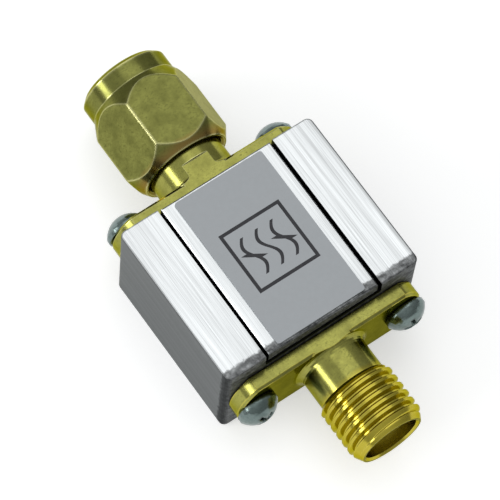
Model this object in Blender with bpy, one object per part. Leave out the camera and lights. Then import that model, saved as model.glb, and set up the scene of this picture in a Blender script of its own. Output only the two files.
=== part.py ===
"""In-line coaxial band-pass filter: a milled housing between a threaded plug and a threaded jack.

The connector axis runs along X. The plug points to -X and the jack to +X, and the housing stands on z = 0.
Sizes are in metres. Along each connector, "reach" is measured outwards from the end face of the housing.
"""

import math

import bmesh
import bpy
from mathutils import Matrix

# Housing and lid
HOUSING_LENGTH = 0.0142
HOUSING_WIDTH = 0.0174
HOUSING_HEIGHT = 0.0096
HOUSING_CORNER_RADIUS = 0.0005
HOUSING_EDGE_BREAK = 0.00012
RAIL_WIDTH = 0.00345
LEDGE_WIDTH = 0.0008
END_WALL = 0.0018
FLOOR_THICKNESS = 0.0014
POCKET_CORNER_RADIUS = 0.0010
SHELF_WIDTH = 0.0008
LID_THICKNESS = 0.0011
LID_EDGE_BREAK = 0.00012
LABEL_MARGIN_SIDE = 0.0010
LABEL_MARGIN_END = 0.00025
LABEL_THICKNESS = 0.00012
LABEL_CORNER_RADIUS = 0.0002

# Flanges, which both connectors share
FLANGE_THICKNESS = 0.0012
FLANGE_LAND = 0.0002
FLANGE_SIDE_INSET = 0.0003
FLANGE_EAR_BULGE = 0.00055
FLANGE_EDGE_BREAK = 0.00020
FLAT_OVERRUN = 0.00025

# Jack, the threaded end
BARREL_DIAMETER = 0.00555
BARREL_LENGTH = 0.0029
JACK_ROOT_FILLET = 0.0006
THREAD_DIAMETER = 0.00630
THREAD_PITCH = 0.0254 / 36
THREAD_DEPTH = 0.00036
THREAD_MOUTH = 0.00050
THREAD_FLOOR = 0.00010
THREAD_RUN_OUT = 0.0003
THREAD_SHOULDER = 0.00035
JACK_LENGTH = 0.0079
JACK_END_CONE_LENGTH = 0.00085
JACK_END_CONE_DROP = 0.00050
SOCKET_BORE_DIAMETER = 0.0046
SOCKET_BORE_DEPTH = 0.0019
SOCKET_MOUTH_CHAMFER = 0.00015

# Plug body, which carries the coupling nut
PLUG_BODY_DIAMETER = 0.0064
PLUG_ROOT_FILLET = 0.0003
PLUG_FLAT_LENGTH = 0.00125
PLUG_SHOULDER_LENGTH = 0.0063
PLUG_NOSE_CHAMFER = 0.00025
FERRULE_DIAMETER = 0.00459
FERRULE_LENGTH = 0.0023
FERRULE_END_BREAK = 0.00008
RING_GROOVE_DIAMETER = 0.0053

# Coupling nut
NUT_STANDOFF = 0.0021
NUT_LENGTH = 0.0088
NUT_ROUND_LENGTH = 0.0018
NUT_ACROSS_FLATS = 0.0080
NUT_ROUND_DIAMETER = 0.0075
NUT_REAR_FACE_DIAMETER = 0.0074
NUT_FRONT_CHAMFER = 0.00035
NUT_REAR_CONE_ANGLE = math.radians(34.0)
NUT_FRONT_CONE_ANGLE = math.radians(27.0)
NUT_TURN = math.radians(116.0)
NUT_LIP_LENGTH = 0.0008
NUT_GROOVE_WIDTH = 0.0008
NUT_GROOVE_DEPTH = 0.00030
NUT_CHAMBER_LENGTH = 0.0053
NUT_MOUTH_CHAMFER = 0.00020
NUT_THREAD_BORE_DIAMETER = 0.00575
NUT_THREAD_LEAD_IN = 0.00030

# Ring and gasket
RING_THICKNESS = 0.0005
RING_SPLIT_ANGLE = math.radians(24.0)
GASKET_THICKNESS = 0.0006
GASKET_DIAMETER = 0.0061

# Insulators and centre contacts
INSULATOR_DIAMETER = 0.0041
CONTACT_DIAMETER = 0.00127
CONTACT_TAIL_LENGTH = 0.0016
CONTACT_TAIL_FLAT = 0.0002
PIN_DIAMETER = 0.00091
PIN_LENGTH = 0.0014
PIN_POINT = 0.0004
SOCKET_HOLE_DIAMETER = 0.00094
SOCKET_HOLE_DEPTH = 0.0026
SOCKET_RECESS = 0.0001
SOCKET_SLOT_WIDTH = 0.00018
SOCKET_SLOT_LENGTH = 0.0020

# Flange screws
SCREW_SIDE_INSET = 0.0019
SCREW_HEAD_DIAMETER = 0.0034
SCREW_HEAD_HEIGHT = 0.00135
SCREW_HEAD_RIM = 0.00035
SCREW_SHANK_DIAMETER = 0.0019
SCREW_ENGAGEMENT = 0.0040
SCREW_POINT = 0.0005
RECESS_SPAN = 0.0023
RECESS_WIDTH = 0.00058
RECESS_DEPTH = 0.0010
RECESS_TAPER = 0.45
SCREW_TURNS = (math.radians(18.0), math.radians(63.0), math.radians(40.0), math.radians(8.0))

# Circuit board and its components
BOARD_THICKNESS = 0.0008
CHIP_SIZE = (0.0032, 0.0025, 0.0009)
CHIP_EDGE_BREAK = 0.0001
PASSIVE_SIZE = (0.0010, 0.0005, 0.0005)
PASSIVE_CAP_LENGTH = 0.00022
PASSIVE_WAIST = 0.00004
SHUNT_OFFSET = 0.0016

# Clearances between pieces
FLANGE_SEAT_GAP = 0.0001
LID_SEAM_GAP = 0.00028
LID_SEAT_GAP = 0.0001
LID_END_INSET = 0.0001
LABEL_FILM_GAP = 0.00003
BOARD_GAP = 0.00015
COMPONENT_GAP = 0.00005
INSULATOR_GAP = 0.00006
WALL_BORE_GAP = 0.0001
CONTACT_GAP = 0.00004
SCREW_SEAT_GAP = 0.00005
SCREW_HOLE_GAP = 0.00015
SCREW_TAP_GAP = 0.00008
SCREW_TIP_GAP = 0.0005
NUT_RUNNING_GAP = 0.00015
RING_RUNNING_GAP = 0.0001
GASKET_GAP = 0.00008

# Fineness of the round shapes
ROUND_SEGMENTS = 40
NUT_SEGMENTS = 64
NUT_THREAD_STEPS = 32
SMALL_SEGMENTS = 24
CORNER_SEGMENTS = 6
FILLET_SEGMENTS = 5
EAR_SEGMENTS = 10
SMOOTH_ANGLE = math.radians(24.0)
MERGE_DISTANCE = 1e-7
CUT_MARGIN = 0.001

# Places that follow from the sizes above
AXIS_HEIGHT = HOUSING_HEIGHT / 2
HALF_LENGTH = HOUSING_LENGTH / 2
LID_WIDTH = HOUSING_WIDTH - 2 * (RAIL_WIDTH + LID_SEAM_GAP)
LID_SLOT_WIDTH = HOUSING_WIDTH - 2 * RAIL_WIDTH
LID_SLOT_FLOOR = HOUSING_HEIGHT - LID_THICKNESS - LID_SEAT_GAP
POCKET_LENGTH = HOUSING_LENGTH - 2 * END_WALL
POCKET_WIDTH = LID_SLOT_WIDTH - 2 * LEDGE_WIDTH
BOARD_TOP = AXIS_HEIGHT - CONTACT_TAIL_FLAT - BOARD_GAP
BOARD_BOTTOM = BOARD_TOP - BOARD_THICKNESS
SHELF_HEIGHT = BOARD_BOTTOM - BOARD_GAP
SCREW_OFFSET = HOUSING_WIDTH / 2 - SCREW_SIDE_INSET
FLANGE_FACE = FLANGE_SEAT_GAP + FLANGE_THICKNESS
FLANGE_HALF_HEIGHT = BARREL_DIAMETER / 2 + FLANGE_LAND
FLANGE_HALF_LENGTH = HOUSING_WIDTH / 2 - FLANGE_SIDE_INSET
JACK_END = FLANGE_FACE + JACK_LENGTH
PLUG_SHOULDER = FLANGE_FACE + PLUG_SHOULDER_LENGTH
FERRULE_END = PLUG_SHOULDER + FERRULE_LENGTH
NUT_REAR = FLANGE_FACE + NUT_STANDOFF
NUT_BORE_DIAMETER = PLUG_BODY_DIAMETER + 2 * NUT_RUNNING_GAP
NUT_GROOVE_DIAMETER = NUT_BORE_DIAMETER + 2 * NUT_GROOVE_DEPTH
GROOVE_START = NUT_REAR + NUT_LIP_LENGTH
INSULATOR_BORE = CONTACT_DIAMETER + 2 * CONTACT_GAP
PLUG_SIDE = -1
JACK_SIDE = 1


def clear_scene():
    for existing in list(bpy.data.objects):
        bpy.data.objects.remove(existing, do_unlink=True)


def make_material(name, colour, roughness, metallic):
    material = bpy.data.materials.new(name)
    material.use_nodes = True
    shader = material.node_tree.nodes["Principled BSDF"]
    shader.inputs["Base Color"].default_value = (*colour, 1.0)
    shader.inputs["Roughness"].default_value = roughness
    shader.inputs["Metallic"].default_value = metallic
    return material


def place(bm, name, parent, location=(0.0, 0.0, 0.0)):
    """Put a finished bmesh into the scene as one object, shaded smooth between its sharp edges."""
    mesh = bpy.data.meshes.new(name)
    bm.to_mesh(mesh)
    bm.free()
    mesh.shade_smooth()
    mesh.set_sharp_from_angle(angle=SMOOTH_ANGLE)
    piece = bpy.data.objects.new(name, mesh)
    bpy.context.scene.collection.objects.link(piece)
    piece.parent = parent
    piece.location = location
    return piece


def boolean(piece, tool, operation):
    """Leave a live Boolean on the piece, and keep its tool out of the render."""
    modifier = piece.modifiers.new(tool.name, "BOOLEAN")
    modifier.operation = operation
    modifier.solver = "EXACT"
    modifier.object = tool
    tool.hide_render = True
    tool.display_type = "WIRE"


def turned(profile, segments=ROUND_SEGMENTS, angle=math.tau):
    """Turn (x, radius) points about X. A profile that starts on the axis gives a solid, any other a ring."""
    bm = bmesh.new()
    points = [bm.verts.new((x, 0.0, radius)) for x, radius in profile]
    edges = [bm.edges.new(pair) for pair in zip(points, points[1:])]
    full_turn = angle == math.tau
    if profile[0][1] > 0.0:
        edges.append(bm.edges.new((points[-1], points[0])))
    geometry = points + edges
    if not full_turn:
        geometry = geometry + [bm.faces.new(points)]
    bmesh.ops.spin(
        bm,
        geom=geometry,
        cent=(0.0, 0.0, 0.0),
        axis=(1.0, 0.0, 0.0),
        angle=angle,
        steps=segments,
        use_merge=full_turn,
        use_duplicate=False,
    )
    bmesh.ops.remove_doubles(bm, verts=bm.verts, dist=MERGE_DISTANCE)
    bmesh.ops.recalc_face_normals(bm, faces=bm.faces)
    return bm


def rod(start, end, diameter, y=0.0, z=0.0, segments=SMALL_SEGMENTS):
    """A plain round rod along X."""
    radius = diameter / 2
    bm = turned([(start, 0.0), (start, radius), (end, radius), (end, 0.0)], segments)
    bmesh.ops.translate(bm, vec=(0.0, y, z), verts=bm.verts)
    return bm


def block(length, width, low, high):
    """A plain box centred on X and Y, between two heights."""
    bm = bmesh.new()
    size = (length, width, high - low)
    bmesh.ops.create_cube(bm, size=1.0, matrix=Matrix.Diagonal((*size, 1.0)))
    bmesh.ops.translate(bm, vec=(0.0, 0.0, (low + high) / 2), verts=bm.verts)
    return bm


def is_upright(edge):
    first, second = (vert.co for vert in edge.verts)
    return math.hypot(first.x - second.x, first.y - second.y) < MERGE_DISTANCE


def bevel(bm, edges, width, segments):
    bmesh.ops.bevel(
        bm,
        geom=edges,
        offset=width,
        offset_type="OFFSET",
        segments=segments,
        profile=0.5,
        affect="EDGES",
        clamp_overlap=True,
        material=-1,
    )


def round_corners(bm, radius, segments=CORNER_SEGMENTS):
    bevel(bm, [edge for edge in bm.edges if is_upright(edge)], radius, segments)


def break_rims(bm, width, heights, segments=2):
    """Ease the edges that lie all the way round at one of the given heights."""
    rims = [
        edge
        for edge in bm.edges
        if any(all(abs(vert.co.z - height) < MERGE_DISTANCE for vert in edge.verts) for height in heights)
    ]
    bevel(bm, rims, width, segments)


def arc(centre_x, centre_radius, size, start, end, segments):
    """Points of a round in a turned profile, from one angle to another."""
    steps = [start + (end - start) * step / segments for step in range(segments + 1)]
    return [(centre_x + size * math.cos(a), centre_radius + size * math.sin(a)) for a in steps]


def thread_groove(start, length, crest, depth, steps_per_turn, overshoot):
    """A wedge wound about X, as the tool that cuts a thread goes: in a bore where depth is above 0."""
    flare = THREAD_MOUTH / 2 + (THREAD_MOUTH - THREAD_FLOOR) / 2 * overshoot / abs(depth)
    outer = crest - math.copysign(overshoot, depth)
    floor = crest + depth
    section = ((-flare, outer), (flare, outer), (THREAD_FLOOR / 2, floor), (-THREAD_FLOOR / 2, floor))
    bm = bmesh.new()
    points = [bm.verts.new((start + x, 0.0, radius)) for x, radius in section]
    face = bm.faces.new(points)
    steps = math.ceil(abs(length) / THREAD_PITCH * steps_per_turn)
    bmesh.ops.spin(
        bm,
        geom=points + list(face.edges) + [face],
        cent=(0.0, 0.0, 0.0),
        axis=(1.0, 0.0, 0.0),
        dvec=(math.copysign(THREAD_PITCH / steps_per_turn, length), 0.0, 0.0),
        angle=math.tau * steps / steps_per_turn,
        steps=steps,
        use_merge=False,
        use_duplicate=False,
    )
    bmesh.ops.recalc_face_normals(bm, faces=bm.faces)
    return bm


def outwards(side, profile):
    """Carry a profile given as reach from the housing's end face to the plug's or the jack's end."""
    return [(side * (HALF_LENGTH + reach), radius) for reach, radius in profile]


def build_housing(material, axis):
    """One milled block: the lid's slot, a stepped pocket, a bore in each end wall and four tapped holes."""
    bm = block(HOUSING_LENGTH, HOUSING_WIDTH, 0.0, HOUSING_HEIGHT)
    round_corners(bm, HOUSING_CORNER_RADIUS)
    break_rims(bm, HOUSING_EDGE_BREAK, (0.0, HOUSING_HEIGHT))
    housing = place(bm, "housing", None)
    housing.data.materials.append(material)
    top = HOUSING_HEIGHT + CUT_MARGIN

    slot = block(HOUSING_LENGTH + 2 * CUT_MARGIN, LID_SLOT_WIDTH, LID_SLOT_FLOOR, top)
    boolean(housing, place(slot, "cut_lid_slot", None), "DIFFERENCE")

    pocket = block(POCKET_LENGTH, POCKET_WIDTH, SHELF_HEIGHT, top)
    round_corners(pocket, POCKET_CORNER_RADIUS)
    boolean(housing, place(pocket, "cut_pocket", None), "DIFFERENCE")

    well_length = POCKET_LENGTH - 2 * SHELF_WIDTH
    well = block(well_length, POCKET_WIDTH - 2 * SHELF_WIDTH, FLOOR_THICKNESS, top)
    round_corners(well, POCKET_CORNER_RADIUS)
    boolean(housing, place(well, "cut_well", None), "DIFFERENCE")

    reach = HALF_LENGTH + CUT_MARGIN
    bore = rod(-reach, reach, INSULATOR_DIAMETER + 2 * WALL_BORE_GAP, segments=ROUND_SEGMENTS)
    boolean(housing, place(bore, "cut_wall_bore", axis), "DIFFERENCE")

    depth = SCREW_ENGAGEMENT + SCREW_TIP_GAP
    for side in (PLUG_SIDE, JACK_SIDE):
        for hand in (-1, 1):
            start = side * (HALF_LENGTH + CUT_MARGIN)
            end = side * (HALF_LENGTH - depth)
            hole = rod(start, end, SCREW_SHANK_DIAMETER + 2 * SCREW_TAP_GAP, y=hand * SCREW_OFFSET)
            name = f"cut_tapped_hole_{side}_{hand}"
            boolean(housing, place(hole, name, axis), "DIFFERENCE")


def build_lid(material):
    """The cover plate lies flush between the rails, on the ledges that the pocket leaves."""
    low = HOUSING_HEIGHT - LID_THICKNESS
    bm = block(HOUSING_LENGTH - 2 * LID_END_INSET, LID_WIDTH, low, HOUSING_HEIGHT)
    break_rims(bm, LID_EDGE_BREAK, (HOUSING_HEIGHT,), segments=1)
    place(bm, "lid", None).data.materials.append(material)


def build_label(material):
    """A foil label on the lid, left bare."""
    low = HOUSING_HEIGHT + LABEL_FILM_GAP
    length = HOUSING_LENGTH - 2 * (LID_END_INSET + LABEL_MARGIN_END)
    bm = block(length, LID_WIDTH - 2 * LABEL_MARGIN_SIDE, low, low + LABEL_THICKNESS)
    round_corners(bm, LABEL_CORNER_RADIUS, segments=3)
    place(bm, "label", None).data.materials.append(material)


def flange_outline():
    """Half of the flange's outline in Y and Z: flat above and below, with a rounded ear at the side."""
    radius = FLANGE_HALF_HEIGHT + FLANGE_EAR_BULGE
    centre = FLANGE_HALF_LENGTH - radius
    reach = math.asin(FLANGE_HALF_HEIGHT / radius)
    steps = [reach * (2 * step / EAR_SEGMENTS - 1) for step in range(EAR_SEGMENTS + 1)]
    return [(centre + radius * math.cos(a), radius * math.sin(a)) for a in steps]


def build_flange(name, side, axis):
    """The flange plate, extruded from its outline, with its outer rim eased."""
    half = flange_outline()
    outline = half + [(-y, -z) for y, z in half]
    inner = side * (HALF_LENGTH + FLANGE_SEAT_GAP)
    outer = side * (HALF_LENGTH + FLANGE_FACE)
    bm = bmesh.new()
    face = bm.faces.new([bm.verts.new((inner, y, z)) for y, z in outline])
    moved = bmesh.ops.extrude_face_region(bm, geom=[face])["geom"]
    moved_points = [item for item in moved if isinstance(item, bmesh.types.BMVert)]
    bmesh.ops.translate(bm, vec=(outer - inner, 0.0, 0.0), verts=moved_points)
    rim = [edge for edge in bm.edges if all(abs(vert.co.x - outer) < MERGE_DISTANCE for vert in edge.verts)]
    bevel(bm, rim, FLANGE_EDGE_BREAK, 1)
    bmesh.ops.recalc_face_normals(bm, faces=bm.faces)
    return place(bm, name, axis)


def dress_flange(body, side, barrel, bore, flat_end, axis):
    """Join the barrel to its flange, mill both flats as far as flat_end, bore it and drill the ears."""
    name = body.name
    boolean(body, place(turned(outwards(side, barrel)), f"add_{name}_barrel", axis), "UNION")
    middle = side * (HALF_LENGTH + flat_end / 2)
    for hand in (-1, 1):
        near = FLANGE_HALF_HEIGHT
        far = near + JACK_ROOT_FILLET + CUT_MARGIN
        low, high = sorted((hand * near, hand * far))
        flat = block(flat_end, 2 * FLANGE_HALF_LENGTH, low, high)
        tool = place(flat, f"cut_{name}_flat_{hand}", axis, (middle, 0.0, 0.0))
        boolean(body, tool, "DIFFERENCE")
    boolean(body, place(turned(outwards(side, bore)), f"cut_{name}_bore", axis), "DIFFERENCE")
    for hand in (-1, 1):
        start = side * (HALF_LENGTH - CUT_MARGIN)
        end = side * (HALF_LENGTH + FLANGE_FACE + CUT_MARGIN)
        hole = rod(start, end, SCREW_SHANK_DIAMETER + 2 * SCREW_HOLE_GAP, y=hand * SCREW_OFFSET)
        boolean(body, place(hole, f"cut_{name}_ear_{hand}", axis), "DIFFERENCE")


def root_fillet(radius, size):
    """The round that blends a barrel into the flange's face."""
    return arc(FLANGE_FACE + size, radius + size, size, math.pi, 1.5 * math.pi, FILLET_SEGMENTS)


def build_jack_body(material, axis):
    """The jack in one piece: flange, smooth barrel, the shoulder and the length that bears the thread."""
    barrel_radius = BARREL_DIAMETER / 2
    thread_radius = THREAD_DIAMETER / 2
    start = FLANGE_SEAT_GAP + FLANGE_THICKNESS / 2
    thread_start = FLANGE_FACE + BARREL_LENGTH
    barrel = [(start, 0.0), (start, barrel_radius + JACK_ROOT_FILLET)]
    barrel += root_fillet(barrel_radius, JACK_ROOT_FILLET)
    barrel += [
        (thread_start, barrel_radius),
        (thread_start + THREAD_SHOULDER, thread_radius),
        (JACK_END - JACK_END_CONE_LENGTH, thread_radius),
        (JACK_END, thread_radius - JACK_END_CONE_DROP),
        (JACK_END, 0.0),
    ]
    insulator_bore = INSULATOR_DIAMETER / 2 + INSULATOR_GAP
    socket = SOCKET_BORE_DIAMETER / 2
    bore = [
        (-CUT_MARGIN, 0.0),
        (-CUT_MARGIN, insulator_bore),
        (JACK_END - SOCKET_BORE_DEPTH, insulator_bore),
        (JACK_END - SOCKET_BORE_DEPTH, socket),
        (JACK_END - SOCKET_MOUTH_CHAMFER, socket),
        (JACK_END + CUT_MARGIN, socket + SOCKET_MOUTH_CHAMFER + CUT_MARGIN),
        (JACK_END + CUT_MARGIN, 0.0),
    ]
    body = build_flange("jack_body", JACK_SIDE, axis)
    body.data.materials.append(material)
    dress_flange(body, JACK_SIDE, barrel, bore, FLANGE_FACE + JACK_ROOT_FILLET + FLAT_OVERRUN, axis)
    groove_start = thread_start - THREAD_RUN_OUT
    groove = thread_groove(
        HALF_LENGTH + groove_start,
        JACK_END + THREAD_RUN_OUT - groove_start,
        thread_radius,
        -THREAD_DEPTH,
        ROUND_SEGMENTS,
        THREAD_FLOOR,
    )
    boolean(body, place(groove, "cut_jack_thread", axis), "DIFFERENCE")


def build_plug_body(material, axis):
    """The plug in one piece: flange, body with two spanner flats, the ring's groove and the ferrule."""
    body_radius = PLUG_BODY_DIAMETER / 2
    groove_end = GROOVE_START + NUT_GROOVE_WIDTH
    ferrule = FERRULE_DIAMETER / 2
    start = FLANGE_SEAT_GAP + FLANGE_THICKNESS / 2
    barrel = [(start, 0.0), (start, body_radius + PLUG_ROOT_FILLET)]
    barrel += root_fillet(body_radius, PLUG_ROOT_FILLET)
    barrel += [
        (GROOVE_START, body_radius),
        (GROOVE_START, RING_GROOVE_DIAMETER / 2),
        (groove_end, RING_GROOVE_DIAMETER / 2),
        (groove_end, body_radius),
        (PLUG_SHOULDER - PLUG_NOSE_CHAMFER, body_radius),
        (PLUG_SHOULDER, body_radius - PLUG_NOSE_CHAMFER),
        (PLUG_SHOULDER, ferrule),
        (FERRULE_END - FERRULE_END_BREAK, ferrule),
        (FERRULE_END, ferrule - FERRULE_END_BREAK),
        (FERRULE_END, 0.0),
    ]
    insulator_bore = INSULATOR_DIAMETER / 2 + INSULATOR_GAP
    bore = [
        (-CUT_MARGIN, 0.0),
        (-CUT_MARGIN, insulator_bore),
        (FERRULE_END + CUT_MARGIN, insulator_bore),
        (FERRULE_END + CUT_MARGIN, 0.0),
    ]
    body = build_flange("plug_body", PLUG_SIDE, axis)
    body.data.materials.append(material)
    dress_flange(body, PLUG_SIDE, barrel, bore, FLANGE_FACE + PLUG_FLAT_LENGTH, axis)


def build_coupling_nut(material, axis):
    """The nut is turned with its stepped bore, and milling its six flats leaves the curved chamfers."""
    corner = NUT_ACROSS_FLATS / 2 / math.cos(math.pi / 6)
    round_radius = NUT_ROUND_DIAMETER / 2
    rear_radius = NUT_REAR_FACE_DIAMETER / 2
    bore = NUT_BORE_DIAMETER / 2
    groove = NUT_GROOVE_DIAMETER / 2
    thread = NUT_THREAD_BORE_DIAMETER / 2
    rear_cone = (corner - rear_radius) / math.tan(NUT_REAR_CONE_ANGLE)
    front_cone = (corner - round_radius) / math.tan(NUT_FRONT_CONE_ANGLE)
    hex_end = NUT_LENGTH - NUT_ROUND_LENGTH
    groove_end = NUT_LIP_LENGTH + NUT_GROOVE_WIDTH
    profile = [
        (NUT_MOUTH_CHAMFER, bore),
        (0.0, bore + NUT_MOUTH_CHAMFER),
        (0.0, rear_radius),
        (rear_cone, corner),
        (hex_end - front_cone, corner),
        (hex_end, round_radius),
        (NUT_LENGTH - NUT_FRONT_CHAMFER, round_radius),
        (NUT_LENGTH, round_radius - NUT_FRONT_CHAMFER),
        (NUT_LENGTH, thread + NUT_THREAD_LEAD_IN),
        (NUT_LENGTH - NUT_THREAD_LEAD_IN, thread),
        (NUT_CHAMBER_LENGTH, thread),
        (NUT_CHAMBER_LENGTH, bore),
        (groove_end, bore),
        (groove_end, groove),
        (NUT_LIP_LENGTH, groove),
        (NUT_LIP_LENGTH, bore),
    ]
    seat = (PLUG_SIDE * (HALF_LENGTH + NUT_REAR), 0.0, 0.0)
    bm = turned([(PLUG_SIDE * x, radius) for x, radius in profile], NUT_SEGMENTS)
    nut = place(bm, "coupling_nut", axis, seat)
    nut.data.materials.append(material)

    prism = bmesh.new()
    lie_down = Matrix.Rotation(NUT_TURN, 4, "X") @ Matrix.Rotation(math.pi / 2, 4, "Y")
    bmesh.ops.create_cone(
        prism,
        cap_ends=True,
        segments=6,
        radius1=corner,
        radius2=corner,
        depth=2 * (NUT_LENGTH + CUT_MARGIN),
        matrix=lie_down,
    )
    boolean(nut, place(prism, "cut_nut_flats", axis, seat), "INTERSECT")
    groove_start = NUT_CHAMBER_LENGTH - THREAD_RUN_OUT
    groove = thread_groove(
        PLUG_SIDE * groove_start,
        PLUG_SIDE * (NUT_LENGTH + THREAD_RUN_OUT - groove_start),
        thread,
        THREAD_DEPTH,
        NUT_THREAD_STEPS,
        THREAD_FLOOR,
    )
    boolean(nut, place(groove, "cut_nut_thread", axis, seat), "DIFFERENCE")


def build_snap_ring(material, axis):
    """A split ring of flat wire, half in the nut's groove and half in the body's."""
    inner = RING_GROOVE_DIAMETER / 2 + RING_RUNNING_GAP
    outer = NUT_GROOVE_DIAMETER / 2 - RING_RUNNING_GAP
    start = GROOVE_START + (NUT_GROOVE_WIDTH - RING_THICKNESS) / 2
    end = start + RING_THICKNESS
    profile = outwards(PLUG_SIDE, [(start, inner), (start, outer), (end, outer), (end, inner)])
    bm = turned(profile, NUT_SEGMENTS // 2, math.tau - RING_SPLIT_ANGLE)
    place(bm, "snap_ring", axis).data.materials.append(material)


def build_gasket(material, axis):
    """The rubber washer round the ferrule, against the plug's shoulder."""
    inner = FERRULE_DIAMETER / 2 + GASKET_GAP
    outer = GASKET_DIAMETER / 2
    start = PLUG_SHOULDER + GASKET_GAP
    crown = (outer - inner) / 8
    end = start + GASKET_THICKNESS
    profile = [
        (start, inner),
        (start, outer),
        (end - crown, outer),
        (end, outer - crown),
        (end, inner + crown),
        (end - crown, inner),
    ]
    bm = turned(outwards(PLUG_SIDE, profile), ROUND_SEGMENTS)
    place(bm, "gasket", axis).data.materials.append(material)


def build_insulator(name, side, end, material, axis):
    """A turned bead of white plastic, from the pocket through wall and flange to the mating face."""
    outer = INSULATOR_DIAMETER / 2
    inner = INSULATOR_BORE / 2
    profile = [(-END_WALL, inner), (-END_WALL, outer), (end, outer), (end, inner)]
    bm = turned(outwards(side, profile), ROUND_SEGMENTS)
    place(bm, name, axis).data.materials.append(material)


def flatten_tail(contact, side, axis):
    """Cut the underside of the tail away, so that it lies flat over the board's pad."""
    length = CONTACT_TAIL_LENGTH + CUT_MARGIN
    middle = side * (HALF_LENGTH - END_WALL - length / 2)
    flat = block(length, 2 * CONTACT_DIAMETER, -CONTACT_DIAMETER, -CONTACT_TAIL_FLAT)
    tool = place(flat, f"cut_{contact.name}_tail", axis, (middle, 0.0, 0.0))
    boolean(contact, tool, "DIFFERENCE")


def build_plug_pin(material, axis):
    """The male contact: a stout shank in the insulator, a thin pin with a blunt point, and a solder tail."""
    shank = CONTACT_DIAMETER / 2
    pin = PIN_DIAMETER / 2
    tip = FERRULE_END + PIN_LENGTH
    tail = -END_WALL - CONTACT_TAIL_LENGTH
    profile = [
        (tail, 0.0),
        (tail, shank),
        (FERRULE_END, shank),
        (FERRULE_END, pin),
        (tip - PIN_POINT, pin),
        (tip, pin / 2),
        (tip, 0.0),
    ]
    contact = place(turned(outwards(PLUG_SIDE, profile), SMALL_SEGMENTS), "plug_pin", axis)
    contact.data.materials.append(material)
    flatten_tail(contact, PLUG_SIDE, axis)


def build_jack_contact(material, axis):
    """The female contact: a drilled sleeve whose mouth is slotted crosswise into four springy fingers."""
    shank = CONTACT_DIAMETER / 2
    hole = SOCKET_HOLE_DIAMETER / 2
    mouth = JACK_END - SOCKET_BORE_DEPTH - SOCKET_RECESS
    floor = mouth - SOCKET_HOLE_DEPTH
    tail = -END_WALL - CONTACT_TAIL_LENGTH
    profile = [(tail, 0.0), (tail, shank), (mouth, shank), (mouth, hole), (floor, hole), (floor - hole, 0.0)]
    contact = place(turned(outwards(JACK_SIDE, profile), SMALL_SEGMENTS), "jack_contact", axis)
    contact.data.materials.append(material)
    middle = (HALF_LENGTH + mouth - SOCKET_SLOT_LENGTH / 2 + CUT_MARGIN / 2, 0.0, 0.0)
    for number, turn in enumerate((0.0, math.pi / 2)):
        slot = block(
            SOCKET_SLOT_LENGTH + CUT_MARGIN, SOCKET_SLOT_WIDTH, -CONTACT_DIAMETER, CONTACT_DIAMETER
        )
        bmesh.ops.rotate(slot, matrix=Matrix.Rotation(turn, 3, "X"), verts=slot.verts)
        boolean(contact, place(slot, f"cut_contact_slot_{number}", axis, middle), "DIFFERENCE")
    flatten_tail(contact, JACK_SIDE, axis)


def recess_blade(turn):
    """One of the two tapered blades that sink the cross recess into a screw's head."""
    bm = block(RECESS_DEPTH, RECESS_WIDTH, -RECESS_SPAN / 2, RECESS_SPAN / 2)
    bmesh.ops.translate(bm, vec=(SCREW_HEAD_HEIGHT - RECESS_DEPTH / 2, 0.0, 0.0), verts=bm.verts)
    inner = [vert for vert in bm.verts if vert.co.x < SCREW_HEAD_HEIGHT - RECESS_DEPTH / 2]
    bmesh.ops.scale(bm, vec=(1.0, RECESS_TAPER, RECESS_TAPER), verts=inner)
    outer = [vert for vert in bm.verts if vert not in inner]
    bmesh.ops.translate(bm, vec=(CUT_MARGIN, 0.0, 0.0), verts=outer)
    bmesh.ops.rotate(bm, matrix=Matrix.Rotation(turn, 3, "X"), verts=bm.verts)
    return bm


def screw_mesh():
    """A pan-head screw along +X, with its seat at x = 0, made once and shared by all four."""
    head = SCREW_HEAD_DIAMETER / 2
    shank = SCREW_SHANK_DIAMETER / 2
    rise = SCREW_HEAD_HEIGHT - SCREW_HEAD_RIM
    dome = (head * head + rise * rise) / (2 * rise)
    centre = SCREW_HEAD_HEIGHT - dome
    spread = math.asin(head / dome)
    tip = -(FLANGE_FACE + SCREW_SEAT_GAP + SCREW_ENGAGEMENT)
    profile = [(tip, 0.0), (tip, shank / 2), (tip + SCREW_POINT, shank), (0.0, shank), (0.0, head)]
    profile += arc(centre, 0.0, dome, spread, 0.0, FILLET_SEGMENTS)
    screw = place(turned(profile, SMALL_SEGMENTS), "screw_pattern", None)
    tools = [place(recess_blade(turn), f"cut_recess_{turn:.1f}", None) for turn in (0.0, math.pi / 2)]
    for tool in tools:
        boolean(screw, tool, "DIFFERENCE")
    bpy.context.view_layer.update()
    graph = bpy.context.evaluated_depsgraph_get()
    mesh = bpy.data.meshes.new_from_object(screw.evaluated_get(graph))
    for helper in (screw, *tools):
        bpy.data.objects.remove(helper, do_unlink=True)
    mesh.name = "flange_screw"
    mesh.shade_smooth()
    mesh.set_sharp_from_angle(angle=SMOOTH_ANGLE)
    return mesh


def build_screws(material, axis):
    mesh = screw_mesh()
    mesh.materials.clear()
    mesh.materials.append(material)
    seats = [
        ("plug_screw_left", PLUG_SIDE, -1),
        ("plug_screw_right", PLUG_SIDE, 1),
        ("jack_screw_left", JACK_SIDE, -1),
        ("jack_screw_right", JACK_SIDE, 1),
    ]
    reach = HALF_LENGTH + FLANGE_FACE + SCREW_SEAT_GAP
    for (name, side, hand), turn in zip(seats, SCREW_TURNS):
        screw = bpy.data.objects.new(name, mesh)
        bpy.context.scene.collection.objects.link(screw)
        screw.parent = axis
        screw.location = (side * reach, hand * SCREW_OFFSET, 0.0)
        screw.rotation_euler = (turn, 0.0, 0.0 if side == JACK_SIDE else math.pi)


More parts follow.
